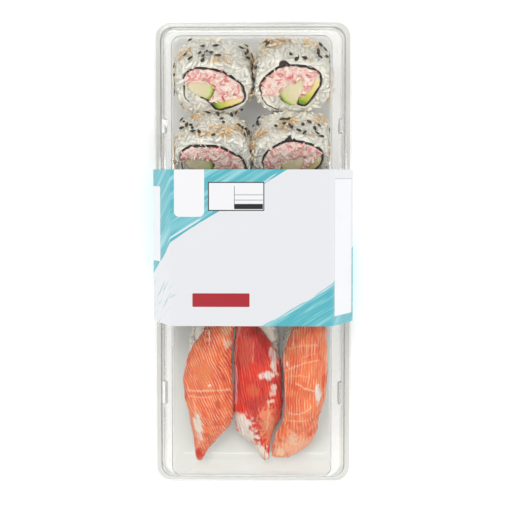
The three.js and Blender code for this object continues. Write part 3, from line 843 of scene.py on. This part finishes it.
def addTray():
    rimX, rimY, rimTop = trayHigh
    floor = trayLow[2] + 0.6
    profile = [(39.6, 105.6, floor, 3.6, 0), (40.6, 106.6, floor + 0.18, 4.6, 0),
               (41.4, 107.4, floor + 0.7, 5.4, 0), (42.0, 108.0, floor + 1.6, 6.0, 0),
               (rimX - 4.4, rimY - 4.6, 10.6, 6.2, 0),
               (rimX - 3.9, rimY - 4.1, 10.9, 6.3, 0), (rimX - 3.3, rimY - 3.3, 13.2, 6.4, 0),
               (rimX - 3.0, rimY - 3.0, 13.8, 6.5, 0), (rimX - 2.5, rimY - 2.5, 14.0, 6.8, 0),
               (rimX, rimY, 14.0, 7.4, 0)]
    piece = formedSheet("tray_work", profile)
    dress(piece, "clear_tray", trayFinish, "tray_plastic", "tray")


addTray()
addLid()
print("tray and lid formed")


# ---- the sleeve ----

sleeveValues = {"board": 0.42, "fold": 1.1, "seam": -17.0, "seamGap": 0.15,
                "white": "#E6E7EA", "teal": "#52B5C1", "pale": "#A2D8DE"}
sleeveLow, sleeveHigh = [np.array(corner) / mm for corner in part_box("sleeve")]


def sleeveCorners():
    # where the board folds, seen along the pack: top, rim and bottom, on the board's inner face
    board = sleeveValues["board"]
    rim = sleeveHigh[0] - 0.05
    return [(39.9, sleeveHigh[2] - 0.45), (rim - board, 14.0), (46.0, board + 0.03)]


def addSleeve():
    v = sleeveValues
    right = sleeveCorners()
    left = [(-x, z) for x, z in right[::-1]]
    bottom = right[2][1]
    path = [(v["seam"], bottom)] + left + right + [(v["seam"] + v["seamGap"], bottom)]
    low, high = sleeveLow[1], sleeveHigh[1]
    deselectAll()
    bpy.ops.mesh.primitive_plane_add(size=1, location=(v["seam"] * mm, (low + high) / 2 * mm, bottom * mm))
    piece = bpy.context.object
    piece.scale = (1, (high - low) * mm, 1)
    settle(piece)
    bpy.ops.object.mode_set(mode="EDIT")
    bpy.ops.mesh.select_mode(type="VERT")
    edit = bmesh.from_edit_mesh(piece.data)
    for vertex in list(edit.verts):
        if vertex.co.x > path[0][0] * mm:
            edit.verts.remove(vertex)
    for vertex in edit.verts:
        vertex.co.x = path[0][0] * mm
        vertex.select = True
    for edge in edit.edges:
        edge.select = True
    bmesh.update_edit_mesh(piece.data)
    bpy.ops.mesh.select_mode(type="EDGE")
    bpy.ops.mesh.select_all(action="SELECT")
    for (x0, z0), (x1, z1) in zip(path, path[1:]):
        bpy.ops.mesh.extrude_edges_move(TRANSFORM_OT_translate={"value": ((x1 - x0) * mm, 0, (z1 - z0) * mm)})
    bpy.ops.object.mode_set(mode="OBJECT")
    folds = piece.modifiers.new("folds", "BEVEL")
    folds.width = v["fold"] * mm
    folds.segments = 4
    folds.limit_method = "ANGLE"
    folds.angle_limit = radians(20)
    wall = piece.modifiers.new("board", "SOLIDIFY")
    wall.thickness = v["board"] * mm
    wall.offset = -1
    applyAll(piece)
    storeUnrolled(piece)
    bpy.ops.object.shade_smooth_by_angle(angle=radians(30))
    return piece


def storeUnrolled(piece):
    # where each point lies on the flat printed board, in millimetres: across it from the middle of the top
    points = pointArray(piece) / mm
    corners = sleeveCorners()
    across = np.zeros(len(points))
    x, z = np.abs(points[:, 0]), points[:, 2]
    reach = corners[0][0]
    starts = [0.0]
    for (x0, z0), (x1, z1) in zip(corners, corners[1:]):
        starts.append(reach)
        reach += float(np.hypot(x1 - x0, z1 - z0))
    starts.append(reach)
    across[:] = x
    for index, ((x0, z0), (x1, z1)) in enumerate(zip(corners, corners[1:]), 1):
        length = float(np.hypot(x1 - x0, z1 - z0))
        on = ((x - x0) * (x1 - x0) + (z - z0) * (z1 - z0)) / length
        foot = z1 - (0.3 if index == 1 else 0)
        here = (z < z0 - 0.3) & (z >= foot) & (x > 20)
        across = np.where(here, starts[index] + np.clip(on, 0, length), across)
    bottom = z < corners[2][1] + 0.2
    # the board runs from one side of its seam to the other, all the way round
    way = np.where(bottom, np.where(points[:, 0] > sleeveValues["seam"] + 0.07, 1, -1), np.sign(points[:, 0]))
    across = np.where(bottom, starts[3] + (corners[2][0] - way * points[:, 0]), across)
    flat = np.stack([across * way, points[:, 1], np.zeros(len(points))], axis=1)
    layer = piece.data.attributes.new("unrolled", "FLOAT_VECTOR", "POINT")
    layer.data.foreach_set("vector", flat.ravel())


# Solid bleached board: printed by offset and varnished. Even fields of ink with a satin sheen, dry-brushed
# where the turquoise ends. Sizes and places are in millimetres on the flat board.
def makePrint():
    v = sleeveValues
    material, tree, shader = newMaterial("printed_varnished_board", roughness=0.42, ior=1.5)
    flat = put(tree, "ShaderNodeAttribute", attribute_name="unrolled").node.outputs["Vector"]
    across, along, _ = put(tree, "ShaderNodeSeparateXYZ", {0: flat}).node.outputs

    def box(x, y, wide, high, radius=0.2, soft=0.12):
        # 1 inside a rectangle about (x, y) with rounded corners, and 0 outside
        squares = []
        for place, middle, size in ((across, x, wide), (along, y, high)):
            off = calc(tree, "ABSOLUTE", calc(tree, "SUBTRACT", place, middle))
            out = calc(tree, "MAXIMUM", calc(tree, "SUBTRACT", off, size / 2 - radius), 0.0)
            squares.append(calc(tree, "MULTIPLY", out, out))
        reach = calc(tree, "SQRT", calc(tree, "ADD", *squares))
        return calc(tree, "DIVIDE", calc(tree, "SUBTRACT", radius + soft / 2, reach), soft, clamp=True)

    # dry brush: streaks along the stroke, which fray its edge and let paler ink through
    stroke = turnedAboutZ(tree, flat, -32)
    streaky = put(tree, "ShaderNodeVectorMath", {0: stroke, 1: (0.045, 1, 1)}, operation="MULTIPLY")
    streaks = noise(tree, streaky, 1.5, detail=4, rough=0.6)
    wide = noise(tree, streaky, 5.0, detail=1)
    slope = calc(tree, "SUBTRACT", along, calc(tree, "MULTIPLY", across, 0.62))
    frayed = calc(tree, "ADD", slope, swing(tree, streaks, 13.0))
    upper = calc(tree, "MULTIPLY", calc(tree, "SUBTRACT", frayed, 32.0), 2.0, clamp=True)
    lower = calc(tree, "MULTIPLY", calc(tree, "SUBTRACT", -38.5, frayed), 2.0, clamp=True)
    inked = calc(tree, "MAXIMUM", upper, lower)
    # a few loose streaks at the near left corner
    looseBand = calc(tree, "MULTIPLY", calc(tree, "SUBTRACT", streaks, 0.585), 30.0, clamp=True)
    loosePlace = calc(tree, "MULTIPLY", box(-56, -26, 34, 22, 6, 6), looseBand)
    inked = calc(tree, "MAXIMUM", inked, loosePlace)
    worn = ramp(tree, streaks, [(0.3, v["pale"]), (0.48, v["teal"]), (0.62, v["teal"]), (0.8, "#3FA9BA")])
    patchy = blendColours(tree, swing(tree, wide, 3.0, clamp=True), worn, linear("#B5E6EC"))
    colour = blendColours(tree, inked, linear(v["white"]), patchy)

    boxes = [
        (-31.0, 33.0, 15.0, 27.0, 2.6, "#F2F2F4"),  # bare tag
        (-7.6, 29.6, 28.0, 14.4, 0.5, "#15161A"), (-7.6, 29.6, 27.0, 13.4, 0.3, "#F1F1F4"),  # framed box
        (-1.4, 24.6, 14.2, 2.6, 0.1, "#15161A"), (-1.4, 30.4, 14.2, 0.25, 0.1, "#55565A"),
        (-1.4, 27.8, 14.2, 0.25, 0.1, "#55565A"), (-8.5, 29.0, 0.25, 11.4, 0.1, "#15161A"),
        (-15.2, -22.0, 28.5, 6.8, 0.5, "#AE1F2C"),  # bare ribbon
        (55.5, 4.0, 25.5, 69.0, 0.8, "#A9ADB5"), (55.5, 4.0, 25.0, 68.5, 0.7, "#F0F1F4"),
        (-64.0, 15.4, 13.0, 38.6, 0.8, "#A9ADB5"), (-64.0, 15.4, 12.5, 38.1, 0.7, "#F0F1F4"),
    ]
    for x, y, wideMm, highMm, radius, tint in boxes:
        colour = blendColours(tree, box(x, y, wideMm, highMm, radius), colour, linear(tint))
    tree.links.new(colour, shader.inputs["Base Color"])
    addBump(tree, shader, noise(tree, coordinates(tree), 0.5), 0.02)
    return material


sleeve = addSleeve()
dress(sleeve, "printed_sleeve", makePrint(), "sleeve_board", "sleeve")
print("sleeve folded and printed")


# ---- floor, light and camera ----

for piece in spare + list(grains.values()):
    bpy.data.objects.remove(piece)

deselectAll()
bpy.ops.mesh.primitive_plane_add(size=6, location=(0, 0, -0.0004))
floor = bpy.context.object
floor.name = "studio_floor"
floorMaterial, floorTree, floorShader = newMaterial("matt_white_paper", baseColor="#FDFDFD", roughness=0.9,
                                                    emissionColor="#FFFFFF", emissionStrength=0.2)
floor.data.materials.append(floorMaterial)

# Soft light all round, a large lamp overhead towards the rolls' end, a weaker one in front, and a narrow
# strip on each side that draws bright lines along the plastic's bends.
lightValues = {
    "sky": [(0.0, 0.5), (0.3, 0.76), (0.72, 0.74), (0.97, 0.36)],
    "lamps": [((-0.5, 1.4, 3.0), (1.4, 1.4), 21.0), ((0.9, -2.2, 2.4), (1.5, 1.5), 18.0),
              ((-1.5, 0.0, 1.3), (0.14, 2.2), 5.5), ((1.5, 0.0, 1.3), (0.14, 2.2), 5.5)],
}
world = bpy.data.worlds.new("soft studio")
scene.world = world
world.use_nodes = True
sky = world.node_tree
direction = put(sky, "ShaderNodeTexCoord").node.outputs["Generated"]
height = put(sky, "ShaderNodeSeparateXYZ", {0: direction}).node.outputs[2]
glow = ramp(sky, height, [(place, (level, level, level, 1)) for place, level in lightValues["sky"]])
sky.links.new(glow, sky.nodes["Background"].inputs["Color"])
for number, (place, size, power) in enumerate(lightValues["lamps"], 1):
    lamp = bpy.data.lights.new(f"lamp_{number}", "AREA")
    lamp.shape = "RECTANGLE"
    lamp.size, lamp.size_y = size
    lamp.energy = power
    holder = bpy.data.objects.new(f"lamp_{number}", lamp)
    holder.location = place
    holder.rotation_euler = (-Vector(place)).to_track_quat("-Z", "Y").to_euler()
    scene.collection.objects.link(holder)

cameraValues = {"distance": 0.79, "leanAcross": 1.5, "leanAlong": 3.0, "field": 0.261,
                "target": (0, 0, 0.014)}
v = cameraValues
camera = bpy.data.cameras.new("camera")
cameraObject = bpy.data.objects.new("camera", camera)
scene.collection.objects.link(cameraObject)
away = Vector((tan(radians(v["leanAcross"])), tan(radians(v["leanAlong"])), 1)).normalized()
right = Vector((0, 1, 0)).cross(away).normalized()
turned = Matrix((right, away.cross(right), away)).transposed().to_4x4()
cameraObject.matrix_world = Matrix.Translation(Vector(v["target"]) + away * v["distance"]) @ turned
camera.sensor_width = 36
camera.lens = 36 * v["distance"] / v["field"]
camera.clip_start = 0.01
scene.camera = cameraObject
scene.view_settings.view_transform = "Standard"
scene.view_settings.look = "None"
print("lit and framed")
